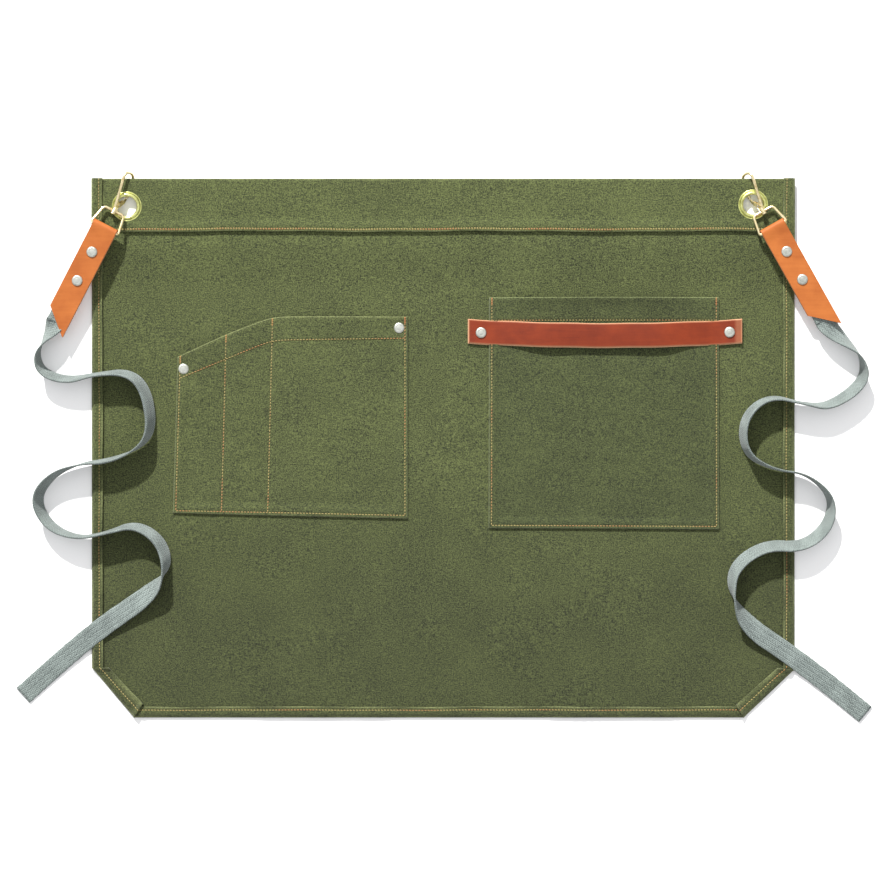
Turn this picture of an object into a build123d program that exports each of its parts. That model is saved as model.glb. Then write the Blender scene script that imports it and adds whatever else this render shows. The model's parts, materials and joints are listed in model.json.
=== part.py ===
from build123d import *
from math import cos, radians, sin, tan
import os

# Waist apron of heavy canvas, lying flat with its front up.
# Origin: middle of the cloth's underside, on the surface that it lies on.
# +X is the wearer's left (right-hand side seen from above), +Y runs towards
# the waistband and +Z stands up from the cloth. All sizes are millimetres.

os.makedirs("parts", exist_ok=True)

# ---- driving dimensions: cloth --------------------------------------------
apron_width = 702.0
apron_height = 538.0
left_corner_cut = (41.0, 49.0)
right_corner_cut = (49.0, 47.0)
cloth = 1.0
hem_width = 11.0
hem_fold = 1.4
waistband_depth = 52.5
waistband_fold = 1.4
waistband_lift = 4.5
ramp_low, ramp_high = 158.0, 208.0
ramp_radius = 120.0

# ---- driving dimensions: pockets and the leather band ----------------------
pocket_cloth = 0.9
tool_pocket_seams = (-269.0, -217.5, -172.5, -36.0)
tool_pocket_low, tool_pocket_high = -69.0, 131.4
tool_pocket_left_top = 90.5
tool_pocket_puffs = (8.4, 8.0, 5.6)
tool_pocket_margins = (16.0, 15.0)
large_pocket_sides = (45.5, 276.0)
large_pocket_low, large_pocket_high = -81.3, 150.8
large_pocket_puff = 5.6
seam_puff = 0.3

leather = 2.2
leather_band_ends = (25.4, 298.4)
leather_band_depth = 23.6
leather_band_end_y = 117.0
leather_band_sag = 4.5
leather_band_crest = 9.3
leather_band_flat = 24.0
leather_band_bend = 60.0
leather_band_ramp = 58.0

# ---- driving dimensions: rivets and eyelets --------------------------------
cap_radius, cap_height, cap_rim = 5.4, 2.0, 0.5
post_radius = 1.5
back_radius, back_height = 4.6, 0.6
tool_pocket_rivets = ((-259.5, 79.2), (-44.0, 120.2))
band_rivets = ((37.8, 115.4), (286.0, 115.9))

eyelet_hole, eyelet_barrel, eyelet_flange = 10.0, 10.5, 15.0
eyelet_crown = 1.3
washer_height, roll_height = 0.4, 0.3
eyelet_places = {"left": (-315.8, 241.3), "right": (309.3, 243.2)}

# ---- driving dimensions: snap hook, swivel loop and strap ------------------
wire = 1.5
hook_lean = 8.0
hook_reach = 41.5
hook_bend = 7.0
hook_tip = (18.0, 9.3)
gate_pivot = (7.0, 1.8)
shank_radius, bore_radius = 1.5, 1.55
boss_half, boss_radius = 2.0, 2.8
head_radius, head_height = 2.5, 1.5
collar_gap = 0.1
pin_radius, pin_bore = 0.8, 0.85
neck_half, cheek = 1.2, 0.6
cheek_gap = 0.05
spring_wire, spring_radius, spring_pitch = 0.2, 1.25, 0.42
pocket_radius, pocket_floor = 1.75, -0.2

loop_wire = 1.4
loop_top_half, loop_bar_half = 11.0, 15.0
loop_drop = 20.0
loop_corner = 4.0
loop_bar_corner = 1.8

tab_width = 25.5
tab_short, tab_long = 93.2, 116.2
tab_wrap = 1.8
tab_rivets = (27.0, 59.0)
tab_settle = 12.0

tie_width, tie_cloth = 20.0, 1.8
tie_clear = 2.7
tie_rest, tie_step = 0.1, 3.5
tie_inside, tie_exit, tie_lap = 16.0, 105.0, 1.5

# Each side: swivel centre, heading from +Y, rise of the shank towards the
# strap, tilt of the hook's plane, and which way the heading turns.
sides = {
    "left": dict(place=(-327.9, 236.4, 11.7), heading=27.5, slope=13.7, tilt=52.0, turn=1),
    "right": dict(place=(318.7, 236.2, 11.4), heading=29.5, slope=13.4, tilt=47.0, turn=-1),
}

# Route of each tie seen from above, from the end of its leather tab.
tie_routes = {
    "left": [
        (-386, 126), (-400, 111), (-406, 89), (-374, 68), (-346, 74), (-313, 76),
        (-296, 58), (-290, 20), (-302, 0), (-333, -13), (-361, -15), (-390, -26),
        (-408, -50), (-394, -78), (-365, -90), (-337, -85), (-307, -75), (-281, -92),
        (-274, -121), (-293, -146), (-342, -179), (-387, -217), (-420, -247),
    ],
    "right": [
        (380, 127), (400, 110), (420, 91), (421, 66), (386, 41), (360, 44),
        (324, 53), (298, 30), (300, -6), (330, -22), (362, -25), (389, -49),
        (379, -87), (358, -99), (321, -96), (289, -118), (287, -147), (304, -178),
        (345, -205), (392, -241), (422, -266),
    ],
}
# The last three runs of each tie lie flat; the ones before stand on edge.


def keep(shape, name):
    """Label a finished piece and write it as one STEP file."""
    shape.part.label = name
    export_step(shape.part, f"parts/{name}.step")
    print(f"{name:24s} {shape.part.volume:10.1f} mm3")


# ---- cloth -----------------------------------------------------------------
half_width, half_height = apron_width / 2, apron_height / 2
hem_top = cloth + hem_fold
band_under = waistband_lift + cloth
band_top = band_under + waistband_fold


def cloth_corners(inset, top):
    """The apron's outline with its cut corners, drawn in by an inset."""
    left, right = -half_width + inset, half_width - inset
    low = -half_height + inset
    trim = 0.42 * inset
    return [
        (left, top),
        (left, -half_height + left_corner_cut[1] + trim),
        (-half_width + left_corner_cut[0] + trim, low),
        (half_width - right_corner_cut[0] - trim, low),
        (right, -half_height + right_corner_cut[1] + trim),
        (right, top),
    ]


def lying_profile(under, over):
    """Side profile of cloth that lies flat and lifts under the waistband."""
    ends = []
    for height in (under, over):
        path = FilletPolyline(
            (-half_height, height),
            (ramp_low, height),
            (ramp_high, height + waistband_lift),
            (half_height, height + waistband_lift),
            radius=ramp_radius,
        )
        ends.append(path)
    Line(ends[0] @ 0, ends[1] @ 0)
    Line(ends[0] @ 1, ends[1] @ 1)


with BuildPart() as hem_ring:
    with BuildSketch(Plane.YZ.offset(-half_width)):
        with BuildLine():
            lying_profile(cloth, hem_top)
        make_face()
    extrude(amount=apron_width)
    with BuildSketch():
        with BuildLine():
            Polyline(cloth_corners(0, half_height), close=True)
        make_face()
        with BuildLine():
            Polyline(cloth_corners(hem_width, half_height + hem_width), close=True)
        make_face(mode=Mode.SUBTRACT)
    extrude(amount=30, mode=Mode.INTERSECT)

with BuildPart() as apron_panel:
    with BuildSketch(Plane.YZ.offset(-half_width)):
        with BuildLine():
            lying_profile(0, cloth)
        make_face()
    extrude(amount=apron_width)
    with BuildSketch():
        with BuildLine():
            Polyline(cloth_corners(0, half_height), close=True)
        make_face()
    extrude(amount=30, mode=Mode.INTERSECT)
    add(hem_ring.part)
    with BuildSketch():
        with Locations(*eyelet_places.values()):
            Circle(eyelet_barrel)
    extrude(amount=30, mode=Mode.SUBTRACT)
    with BuildSketch():
        with Locations(*tool_pocket_rivets, *band_rivets):
            Circle(back_radius)
    extrude(amount=back_height, mode=Mode.SUBTRACT)
    with BuildSketch():
        with Locations(*tool_pocket_rivets, *band_rivets):
            Circle(post_radius)
    extrude(amount=cloth, mode=Mode.SUBTRACT)
keep(apron_panel, "apron_panel")

with BuildPart() as waistband:
    with BuildSketch(Plane.XY.offset(band_under)):
        with Locations((0, half_height - waistband_depth / 2)):
            Rectangle(apron_width - 2 * hem_width, waistband_depth)
        with Locations(*eyelet_places.values()):
            Circle(eyelet_barrel, mode=Mode.SUBTRACT)
    extrude(amount=waistband_fold)
keep(waistband, "waistband")


# ---- pockets ---------------------------------------------------------------
def puffed_cloth(left, right, low, high, puff):
    """Cloth sewn down at its sides and foot that stands open at its mouth."""
    middle = (left + right) / 2
    with BuildPart() as pocket:
        for y, crown in ((low, seam_puff), (high, puff)):
            with BuildSketch(Plane.XZ.offset(-y)):
                with BuildLine():
                    arcs = []
                    for level in (cloth, cloth + pocket_cloth):
                        top = (middle, level + crown)
                        arcs.append(ThreePointArc((left, level), top, (right, level)))
                    Line(arcs[0] @ 0, arcs[1] @ 0)
                    Line(arcs[0] @ 1, arcs[1] @ 1)
                make_face()
        loft(ruled=True)
    return pocket.part


with BuildPart() as tool_pocket:
    slot_edges = (
        tool_pocket_seams[0] + tool_pocket_margins[0],
        *tool_pocket_seams[1:3],
        tool_pocket_seams[3] - tool_pocket_margins[1],
    )
    for left, right, puff in zip(slot_edges, slot_edges[1:], tool_pocket_puffs):
        add(puffed_cloth(left, right, tool_pocket_low, tool_pocket_high, puff))
    flat_strips = ((tool_pocket_seams[0], slot_edges[0]), (slot_edges[3], tool_pocket_seams[3]))
    with BuildSketch(Plane.XY.offset(cloth)):
        for left, right in flat_strips:
            with Locations(((left + right) / 2, (tool_pocket_low + tool_pocket_high) / 2)):
                Rectangle(right - left, tool_pocket_high - tool_pocket_low)
    extrude(amount=pocket_cloth)
    with BuildSketch():
        with BuildLine():
            Polyline(
                (tool_pocket_seams[0], tool_pocket_low),
                (tool_pocket_seams[3], tool_pocket_low),
                (tool_pocket_seams[3], tool_pocket_high),
                (tool_pocket_seams[2], tool_pocket_high),
                (tool_pocket_seams[0], tool_pocket_left_top),
                close=True,
            )
        make_face()
    extrude(amount=30, mode=Mode.INTERSECT)
    with BuildSketch():
        with Locations(*tool_pocket_rivets):
            Circle(post_radius)
    extrude(amount=30, mode=Mode.SUBTRACT)
keep(tool_pocket, "tool_pocket")

with BuildPart() as large_pocket:
    sides_and_ends = (*large_pocket_sides, large_pocket_low, large_pocket_high)
    add(puffed_cloth(*sides_and_ends, large_pocket_puff))
keep(large_pocket, "large_pocket")


# ---- leather band over the large pocket ------------------------------------
band_seat = cloth + pocket_cloth + 0.3


def band_line(level):
    """Front-view line of the band, flat at its rivets and bowed between."""
    start, end = leather_band_ends
    crest = level + leather_band_crest
    return FilletPolyline(
        (start, level),
        (start + leather_band_flat, level),
        (start + leather_band_flat + leather_band_ramp, crest),
        (end - leather_band_flat - leather_band_ramp, crest),
        (end - leather_band_flat, level),
        (end, level),
        radius=leather_band_bend,
    )


def sagging_edge(y):
    """One long edge of the band, seen from above, bowed towards the hem."""
    start, end = leather_band_ends
    return ThreePointArc((start, y), ((start + end) / 2, y - leather_band_sag), (end, y))


with BuildPart() as leather_band:
    with BuildSketch(Plane.XZ.offset(-half_height)):
        with BuildLine():
            under = band_line(band_seat)
            over = band_line(band_seat + leather)
            Line(under @ 0, over @ 0)
            Line(under @ 1, over @ 1)
        make_face()
    extrude(amount=apron_height)
    with BuildSketch():
        with BuildLine():
            upper = sagging_edge(leather_band_end_y + leather_band_depth / 2)
            lower = sagging_edge(leather_band_end_y - leather_band_depth / 2)
            Line(upper @ 0, lower @ 0)
            Line(upper @ 1, lower @ 1)
        make_face()
    extrude(amount=30, mode=Mode.INTERSECT)
    with BuildSketch():
        with Locations(*band_rivets):
            Circle(post_radius)
    extrude(amount=30, mode=Mode.SUBTRACT)
keep(leather_band, "leather_band")


# ---- rivets and eyelets ----------------------------------------------------
with BuildPart() as cap_shape:
    with BuildSketch(Plane.XZ):
        with BuildLine():
            rim = Line((0, 0), (cap_radius, 0))
            side = Line(rim @ 1, (cap_radius, cap_rim))
            dome = (cap_height - cap_rim) / 2 + cap_radius**2 / (2 * (cap_height - cap_rim))
            crown = RadiusArc(side @ 1, (0, cap_height), -dome)
            Line(crown @ 1, rim @ 0)
        make_face()
    revolve(axis=Axis.Z)


def stud(height):
    """Back disc with the post that stands on it."""
    with BuildPart(mode=Mode.PRIVATE) as shape:
        Cylinder(back_radius, back_height, align=(Align.CENTER, Align.CENTER, Align.MIN))
        Cylinder(post_radius, height, align=(Align.CENTER, Align.CENTER, Align.MIN))
    return shape.part


def rivet_pair(places, top, prefix):
    """Two rivets through the cloth: caps in front, studs from behind."""
    with BuildPart() as caps:
        for place in places:
            add(Pos(*place, top) * cap_shape.part)
    keep(caps, f"{prefix}_rivet_caps")
    with BuildPart() as studs:
        for place in places:
            add(Pos(*place, 0) * stud(top))
    keep(studs, f"{prefix}_rivet_studs")


rivet_pair(tool_pocket_rivets, cloth + pocket_cloth, "tool_pocket")
rivet_pair(band_rivets, band_seat + leather, "band")

for side, place in eyelet_places.items():
    with BuildPart() as eyelet:
        with BuildSketch(Plane.XZ):
            with BuildLine():
                start = (eyelet_hole, waistband_lift - washer_height - roll_height)
                back = Line(start, (eyelet_hole + 2, start[1]))
                lip = Line(back @ 1, (eyelet_hole + 2, start[1] + roll_height))
                seat = Line(lip @ 1, (eyelet_barrel, start[1] + roll_height))
                barrel = Line(seat @ 1, (eyelet_barrel, band_top))
                flange = Line(barrel @ 1, (eyelet_flange, band_top))
                crest = ((eyelet_hole + eyelet_flange) / 2, band_top + eyelet_crown)
                crown = ThreePointArc(flange @ 1, crest, (eyelet_hole, band_top))
                Line(crown @ 1, start)
            make_face()
        revolve(axis=Axis.Z)
    with BuildPart() as placed_eyelet:
        add(Pos(*place, 0) * eyelet.part)
    keep(placed_eyelet, f"{side}_eyelet")
    with BuildPart() as washer:
        with BuildSketch(Plane.XY.offset(waistband_lift - washer_height)):
            with Locations(place):
                Circle(eyelet_flange)
                Circle(eyelet_barrel, mode=Mode.SUBTRACT)
        extrude(amount=washer_height)
    keep(washer, f"{side}_eyelet_washer")


# ---- snap hook, in its own frame: X along the shank, Y towards the tip -----
hook_plane = Plane.XY.rotated((0, 0, -hook_lean))
collar_start = boss_half + collar_gap

with BuildPart() as hook_shape:
    with BuildSketch(Plane.YZ.offset(-collar_start - head_height)):
        Circle(head_radius)
    extrude(amount=head_height)
    with BuildSketch(Plane.YZ.offset(-collar_start - head_height)):
        Circle(shank_radius)
    extrude(amount=2 * collar_start + 2 * head_height)
    with BuildSketch(Plane.YZ.offset(collar_start)):
        Circle(head_radius)
    extrude(amount=head_height)
    with BuildSketch(hook_plane):
        with BuildLine():
            Polyline(
                (collar_start + 0.8, -1.9),
                (collar_start + 0.8, 1.7),
                (gate_pivot[0] - 1.0, gate_pivot[1] + 1.9),
                (gate_pivot[0] + 1.6, gate_pivot[1] + 1.2),
                (gate_pivot[0] + 4.0, -1.2),
                (gate_pivot[0] + 6.0, -2.6),
                (gate_pivot[0] + 5.0, -3.4),
                close=True,
            )
        make_face()
    extrude(amount=neck_half, both=True)
    with BuildLine(hook_plane) as arm:
        FilletPolyline(
            (5.0, -1.2),
            (hook_reach, -hook_bend - 0.8),
            (hook_reach, hook_bend - 0.6),
            hook_tip,
            radius=hook_bend - 0.8,
        )
    with BuildSketch(Plane(origin=arm.line @ 0, z_dir=arm.line % 0)):
        Circle(wire)
    sweep()
    with BuildSketch(hook_plane.offset(-2 * neck_half)):
        with Locations(gate_pivot):
            Circle(pin_radius)
    extrude(amount=4 * neck_half, mode=Mode.SUBTRACT)
    with BuildSketch(hook_plane.offset(pocket_floor)):
        with Locations(gate_pivot):
            Circle(pocket_radius)
    extrude(amount=neck_half - pocket_floor, mode=Mode.SUBTRACT)

# The gate is a folded strip: a web along its outer edge and two cheeks.
gate_end = (hook_tip[0] - 0.4, hook_tip[1] - 0.6)
with BuildPart() as gate_shape:
    with BuildSketch(hook_plane.offset(neck_half + cheek_gap)):
        with BuildLine():
            Polyline(
                (gate_pivot[0] - 1.6, gate_pivot[1] + 0.2),
                (gate_pivot[0] - 1.0, gate_pivot[1] + 2.4),
                (gate_end[0] - 4.5, gate_end[1] - 0.6),
                (gate_end[0] - 3.5, gate_end[1] - 2.2),
                (gate_pivot[0] + 1.8, gate_pivot[1] - 0.8),
                (gate_pivot[0] - 0.6, gate_pivot[1] - 1.5),
                close=True,
            )
        make_face()
        with Locations(gate_pivot):
            Circle(pin_bore, mode=Mode.SUBTRACT)
    extrude(amount=cheek)
    mirror(about=hook_plane)
    with BuildSketch(hook_plane):
        with BuildLine():
            Polyline(
                (gate_pivot[0] - 0.8, gate_pivot[1] + 2.3),
                (gate_pivot[0] - 0.4, gate_pivot[1] + 3.3),
                (gate_end[0] - 1.2, gate_end[1] + 0.6),
                (gate_end[0] - 0.6, gate_end[1] - 0.9),
                (gate_end[0] - 4.4, gate_end[1] - 1.4),
                close=True,
            )
        make_face()
    extrude(amount=neck_half + cheek_gap, both=True)

# Two turns of spring wire around the pin, in a pocket in the neck's side.
with BuildPart() as coil_shape:
    with BuildLine() as coil:
        Helix(pitch=spring_pitch, height=2 * spring_pitch, radius=spring_radius)
    with BuildSketch(Plane(origin=coil.line @ 0, z_dir=coil.line % 0)):
        Circle(spring_wire)
    sweep(is_frenet=True)

with BuildPart() as gate_spring_shape:
    add(hook_plane.location * Pos(*gate_pivot, pocket_floor + 0.25) * coil_shape.part)

with BuildPart() as gate_pin_shape:
    with BuildSketch(hook_plane.offset(-neck_half - cheek_gap - cheek - 0.5)):
        with Locations(gate_pivot):
            Circle(pin_radius)
    extrude(amount=2 * (neck_half + cheek_gap + cheek + 0.5))

# ---- swivel loop, in the same frame: a closed wire ring with a centre boss --
with BuildPart() as loop_shape:
    with BuildLine() as ring:
        FilletPolyline(
            (0, loop_top_half),
            (-loop_drop, loop_bar_half),
            (-loop_drop, -loop_bar_half),
            (0, -loop_top_half),
            radius=[loop_corner, loop_bar_corner, loop_bar_corner, loop_corner],
            close=True,
        )
    with BuildSketch(Plane(origin=ring.line @ 0, z_dir=ring.line % 0)):
        Circle(loop_wire)
    sweep()
    with BuildSketch(Plane.YZ.offset(-boss_half)):
        Circle(boss_radius)
    extrude(amount=2 * boss_half)
    with BuildSketch(Plane.YZ.offset(-boss_half)):
        Circle(bore_radius)
    extrude(amount=2 * boss_half, mode=Mode.SUBTRACT)

# ---- leather tab, in its own frame: X along the strap, bar at the origin ----
leaf_in = tie_cloth / 2
leaf_out = leaf_in + leather
wrap_out = tab_wrap + leather
with BuildPart() as tab_shape:
    with BuildSketch(Plane.XZ):
        with BuildLine():
            outer = ThreePointArc((0, wrap_out), (-wrap_out, 0), (0, -wrap_out))
            inner = ThreePointArc((0, tab_wrap), (-tab_wrap, 0), (0, -tab_wrap))
            for end, lip, sign in ((0, outer, 1), (1, outer, -1)):
                Polyline(lip @ end, (tab_settle, sign * leaf_out), (tab_long, sign * leaf_out))
            for end, lip, sign in ((0, inner, 1), (1, inner, -1)):
                Polyline(lip @ end, (tab_settle, sign * leaf_in), (tab_long, sign * leaf_in))
            for sign in (1, -1):
                Line((tab_long, sign * leaf_in), (tab_long, sign * leaf_out))
        make_face()
    extrude(amount=tab_width / 2, both=True)
    with BuildSketch(Plane.XY.offset(-wrap_out)):
        with BuildLine():
            Polyline(
                (-wrap_out, -tab_width / 2),
                (tab_short, -tab_width / 2),
                (tab_long, tab_width / 2),
                (-wrap_out, tab_width / 2),
                close=True,
            )
        make_face()
    extrude(amount=2 * wrap_out, mode=Mode.INTERSECT)
    with BuildSketch(Plane.XY.offset(-wrap_out)):
        with Locations(*[(along, 0) for along in tab_rivets]):
            Circle(post_radius)
    extrude(amount=2 * wrap_out, mode=Mode.SUBTRACT)

with BuildPart() as tab_caps_shape:
    for along in tab_rivets:
        add(Pos(along, 0, leaf_out) * cap_shape.part)

with BuildPart() as tab_studs_shape:
    for along in tab_rivets:
        add(Pos(along, 0, -leaf_out - back_height) * stud(2 * leaf_out + back_height))

tie_end = tie_exit + tie_step + tie_lap
with BuildPart() as sewn_end_shape:
    with BuildSketch(Plane.XY.offset(-leaf_in)):
        with Locations(((tie_inside + tie_end) / 2, 0)):
            Rectangle(tie_end - tie_inside, tie_width)
        with Locations(*[(along, 0) for along in tab_rivets]):
            Circle(post_radius, mode=Mode.SUBTRACT)
    extrude(amount=tie_cloth)


# ---- webbing ties ----------------------------------------------------------
def corner_radii(points):
    """The largest even arc at each corner: 0.45 of its shorter run."""
    radii = []
    vectors = [Vector(*point) for point in points]
    for before, corner, after in zip(vectors, vectors[1:], vectors[2:]):
        first, second = corner - before, after - corner
        half_turn = radians(first.get_angle(second)) / 2
        radii.append(0.45 * min(first.length, second.length) / tan(half_turn))
    return radii


def tie_paths(route):
    """Split a route where the webbing lies down: standing, flat and falling."""
    first_run = Vector(*route[1]) - Vector(*route[0])
    start = Vector(*route[0]) + first_run.normalized() * tie_step
    switch = tuple((a + b) / 2 for a, b in zip(route[-4], route[-3]))
    standing = [(start.X, start.Y)] + route[1:-3] + [switch]
    return standing, [switch] + route[-3:-1], route[-2:]


def standing_webbing(points):
    """Webbing on its edge along a route seen from above, and its length."""
    with BuildPart() as webbing:
        with BuildSketch(Plane.XY.offset(tie_clear)):
            with BuildLine():
                path = FilletPolyline(*points, radius=corner_radii(points))
            trace(line_width=tie_cloth)
        extrude(amount=tie_width)
    return webbing.part, path.length


def flat_webbing(points):
    """Webbing lying on its face along a route seen from above, and its length."""
    with BuildPart() as webbing:
        with BuildSketch(Plane.XY.offset(tie_clear)):
            with BuildLine():
                path = FilletPolyline(*points, radius=corner_radii(points))
            trace(line_width=tie_width)
        extrude(amount=tie_cloth)
    return webbing.part, path.length


def falling_webbing(start, end):
    """The last straight run, which comes down to the surface, and its length."""
    run = Vector(*end) - Vector(*start)
    upright = Plane(origin=(*start, 0), x_dir=run, z_dir=run.cross(Vector(0, 0, 1)))
    with BuildPart() as webbing:
        with BuildSketch(upright):
            with BuildLine():
                Polyline(
                    (0, tie_clear),
                    (run.length, tie_rest),
                    (run.length, tie_rest + tie_cloth),
                    (0, tie_clear + tie_cloth),
                    close=True,
                )
            make_face()
        extrude(amount=tie_width / 2, both=True)
    return webbing.part, run.length


# ---- both sides put together ------------------------------------------------
for side, pose in sides.items():
    turn, heading, slope = pose["turn"], radians(pose["heading"]), radians(pose["slope"])
    tilt = radians(pose["tilt"])
    level = Vector(turn * sin(heading), cos(heading), 0)
    shank = level * cos(slope) - Vector(0, 0, 1) * sin(slope)
    across = Vector(turn * cos(heading), -sin(heading), 0)
    above = Vector(0, 0, 1) * cos(slope) + level * sin(slope)
    tipward = across * cos(tilt) - above * sin(tilt)
    centre = Vector(*pose["place"])
    hook_frame = Plane(origin=centre, x_dir=shank, z_dir=shank.cross(tipward))
    loop_frame = Plane(origin=centre, x_dir=shank, z_dir=above)
    bar = centre - shank * loop_drop
    exit_x, exit_y = tie_routes[side][0]
    strap_exit = Vector(exit_x, exit_y, tie_clear + tie_width / 2)
    drop = (bar.Z - strap_exit.Z) / tie_exit
    strap = (level * -1) * (1 - drop**2) ** 0.5 - Vector(0, 0, 1) * drop
    tab_frame = Plane(origin=bar, x_dir=strap, z_dir=strap.cross(across) * turn)
    shapes = {
        "hook_body": (hook_frame, hook_shape),
        "hook_gate": (hook_frame, gate_shape),
        "hook_gate_pin": (hook_frame, gate_pin_shape),
        "hook_gate_spring": (hook_frame, gate_spring_shape),
        "swivel_loop": (loop_frame, loop_shape),
        "strap_tab": (tab_frame, tab_shape),
        "tab_rivet_caps": (tab_frame, tab_caps_shape),
        "tab_rivet_studs": (tab_frame, tab_studs_shape),
    }
    for name, (frame, shape) in shapes.items():
        with BuildPart() as placed:
            add(frame.location * shape.part)
        keep(placed, f"{side}_{name}")

    standing, flat, falling = tie_paths(tie_routes[side])
    stretches = [standing_webbing(standing), flat_webbing(flat), falling_webbing(*falling)]
    length = sum(stretch[1] for stretch in stretches)
    with BuildPart() as tie:
        add(tab_frame.location * sewn_end_shape.part)
        for stretch, _ in stretches:
            add(stretch)
    keep(tie, f"{side}_webbing_tie")
    radii = ", ".join(f"{radius:.0f}" for radius in corner_radii(tie_routes[side]))
    print(f"{side} tie: free length {length:.0f} mm, bend radii {radii}")
    print(f"  strap exit {tuple(tab_frame.from_local_coords((tie_exit, 0, 0)))}")
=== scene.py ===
import json
from math import ceil, cos, pi, radians, sin

import bmesh
import bpy
import numpy as np
from mathutils import Matrix, Vector


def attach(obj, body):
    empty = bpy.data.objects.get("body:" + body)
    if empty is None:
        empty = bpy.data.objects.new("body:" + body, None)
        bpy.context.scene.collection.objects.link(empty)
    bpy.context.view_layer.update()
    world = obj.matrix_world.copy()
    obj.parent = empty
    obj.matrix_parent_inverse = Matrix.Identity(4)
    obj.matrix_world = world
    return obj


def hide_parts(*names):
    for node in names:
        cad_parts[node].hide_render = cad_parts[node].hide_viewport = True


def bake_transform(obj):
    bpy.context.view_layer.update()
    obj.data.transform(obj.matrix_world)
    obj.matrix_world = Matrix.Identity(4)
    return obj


# The looks of a canvas waist apron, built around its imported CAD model.
# All sizes below are millimetres in the CAD frame; meshes are made in metres.

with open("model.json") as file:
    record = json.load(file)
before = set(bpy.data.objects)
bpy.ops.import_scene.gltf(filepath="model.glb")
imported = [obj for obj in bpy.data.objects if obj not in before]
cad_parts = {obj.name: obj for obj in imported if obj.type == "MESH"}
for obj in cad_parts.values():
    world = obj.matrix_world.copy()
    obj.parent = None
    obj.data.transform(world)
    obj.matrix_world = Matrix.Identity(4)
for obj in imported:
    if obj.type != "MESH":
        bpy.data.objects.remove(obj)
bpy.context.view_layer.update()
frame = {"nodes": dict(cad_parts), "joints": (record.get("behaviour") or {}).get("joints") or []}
MM = 0.001

# ---- cloth ----
left_edge, right_edge = -351.2, 351.2
top_edge, bottom_edge = 269.2, -269.2
left_cut = ((-351.2, -220.5), (-309.2, -269.2))
right_cut = ((349.0, -222.5), (300.3, -269.2))
cloth = 1.0
edge_inset = 1.0
grid_step = 4.0
punch_radius = 10.7
lift_height, lift_low, lift_high = 4.5, 158.0, 208.0
fold_radius = 1.2
stitch_pitch = 3.1
thread_radius = 0.55
# Extra height of the turned-in edge, and the depth of each row of stitches.
waistband_ridge, hem_ridge, pocket_ridge = 1.7, 1.3, 1.6
sewn_depth, rim_radius = 0.62, 0.6
waist_stitches = (-340.0, 339.0)

# Soft relief of the lying cloth: height, wavelength, direction, phase.
relief_waves = (
    (0.75, 250.0, 20.0, 0.4),
    (0.55, 165.0, 105.0, 2.1),
    (0.40, 118.0, 62.0, 4.0),
    (0.30, 83.0, 150.0, 1.1),
    (0.18, 47.0, 38.0, 5.2),
    (0.12, 31.0, 118.0, 0.7),
)

# ---- hardware places, as in the CAD model ----
eyelets = {"left": (-315.8, 241.3), "right": (309.3, 243.2)}
tool_rivets = ((-259.5, 79.2), (-44.0, 120.2))
tool_cap_seat = 1.95
band_rivets = ((37.8, 115.4), (286.0, 115.9))
tab_rivets = (27.0, 59.0)
calm_places = (*eyelets.values(), *tool_rivets, *band_rivets)
calm_radius = 16.0

# ---- pockets ----
pocket_cloth = 0.9
# Corners of the tool pocket's seams, bottom then top, from left to right.
tool_seams = (
    ((-270.2, -64.8), (-265.4, 91.2)),
    ((-221.6, -66.2), (-216.9, 113.6)),
    ((-175.4, -67.4), (-170.6, 131.6)),
    ((-35.2, -70.6), (-35.3, 131.4)),
)
tool_puffs = (2.6, 2.8, 4.2)
tool_hems, large_hems = (22.5, 24.8, 23.6, 21.6), (23.0, 23.0)
edge_stitch = 2.9
# How a pocket's puff is shared: belly, mouth, and how far down the mouth's share reaches.
tool_profile, large_profile = (0.45, 0.55, 30.0), (0.60, 0.72, 12.0)
large_seams = (((45.3, -80.0), (45.8, 150.6)), ((276.0, -81.2), (275.6, 150.8)))
large_puffs = (9.4,)

# ---- leather ----
leather = 2.2
band_ends, band_depth, band_end_y = (25.4, 298.4), 23.6, 117.0
band_sag, band_crest, band_flat, band_ramp = 4.5, 9.3, 24.0, 58.0
band_seat = cloth + pocket_cloth + 0.3
band_curl = 291.0
tab_width, tab_short, tab_long = 25.5, 93.2, 116.2
tab_wrap, tab_settle = 1.8, 12.0
tie_width, tie_cloth = 20.0, 1.8
leaf_in = tie_cloth / 2
sewn_start, sewn_end = 16.0, 105.0
exit_height = 12.7
tie_start_heights = (exit_height, 12.0, 10.4, 0.0)

# Route of each tie from the end of its leather tab: x, y and lean in degrees.
# A lean of 0 stands on its edge; 90 or -90 lies flat.
tie_routes = {
    "left": [
        (-386, 126, -90), (-389.5, 119.3, -56), (-398, 108, -14), (-406, 92, 10), (-400, 75, 24),
        (-374, 67, 22), (-346, 74, 6), (-313, 76, 22), (-296, 58, 28), (-290, 20, 24),
        (-302, 0, 2), (-333, -13, -14), (-361, -15, -4), (-390, -26, 14), (-408, -50, 27),
        (-394, -78, 24), (-365, -90, 8), (-337, -85, 3), (-307, -75, 20), (-281, -92, 30),
        (-274, -121, 24), (-293, -146, -70), (-342, -179, -90), (-387, -217, -90),
        (-420, -247, -90),
    ],
    "right": [
        (380, 127, 90), (384, 120.5, 76), (399, 108, 36), (418, 92, 0), (421, 66, -32),
        (386, 41, -26), (360, 44, -3), (324, 53, -12), (298, 30, -20), (300, -6, -12),
        (330, -22, 0), (362, -25, 0), (389, -49, -10), (384, -79, -32), (358, -99, -30),
        (321, -96, -30), (289, -118, -32), (287, -147, -10), (304, -178, 72), (345, -205, 90),
        (392, -241, 90), (422, -266, 90),
    ],
}
over_cloth, over_floor = 2.7, 0.35
# Within these the tie's control points count as lying on the cloth.
cloth_reach, cloth_foot = 368.0, -262.0


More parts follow.
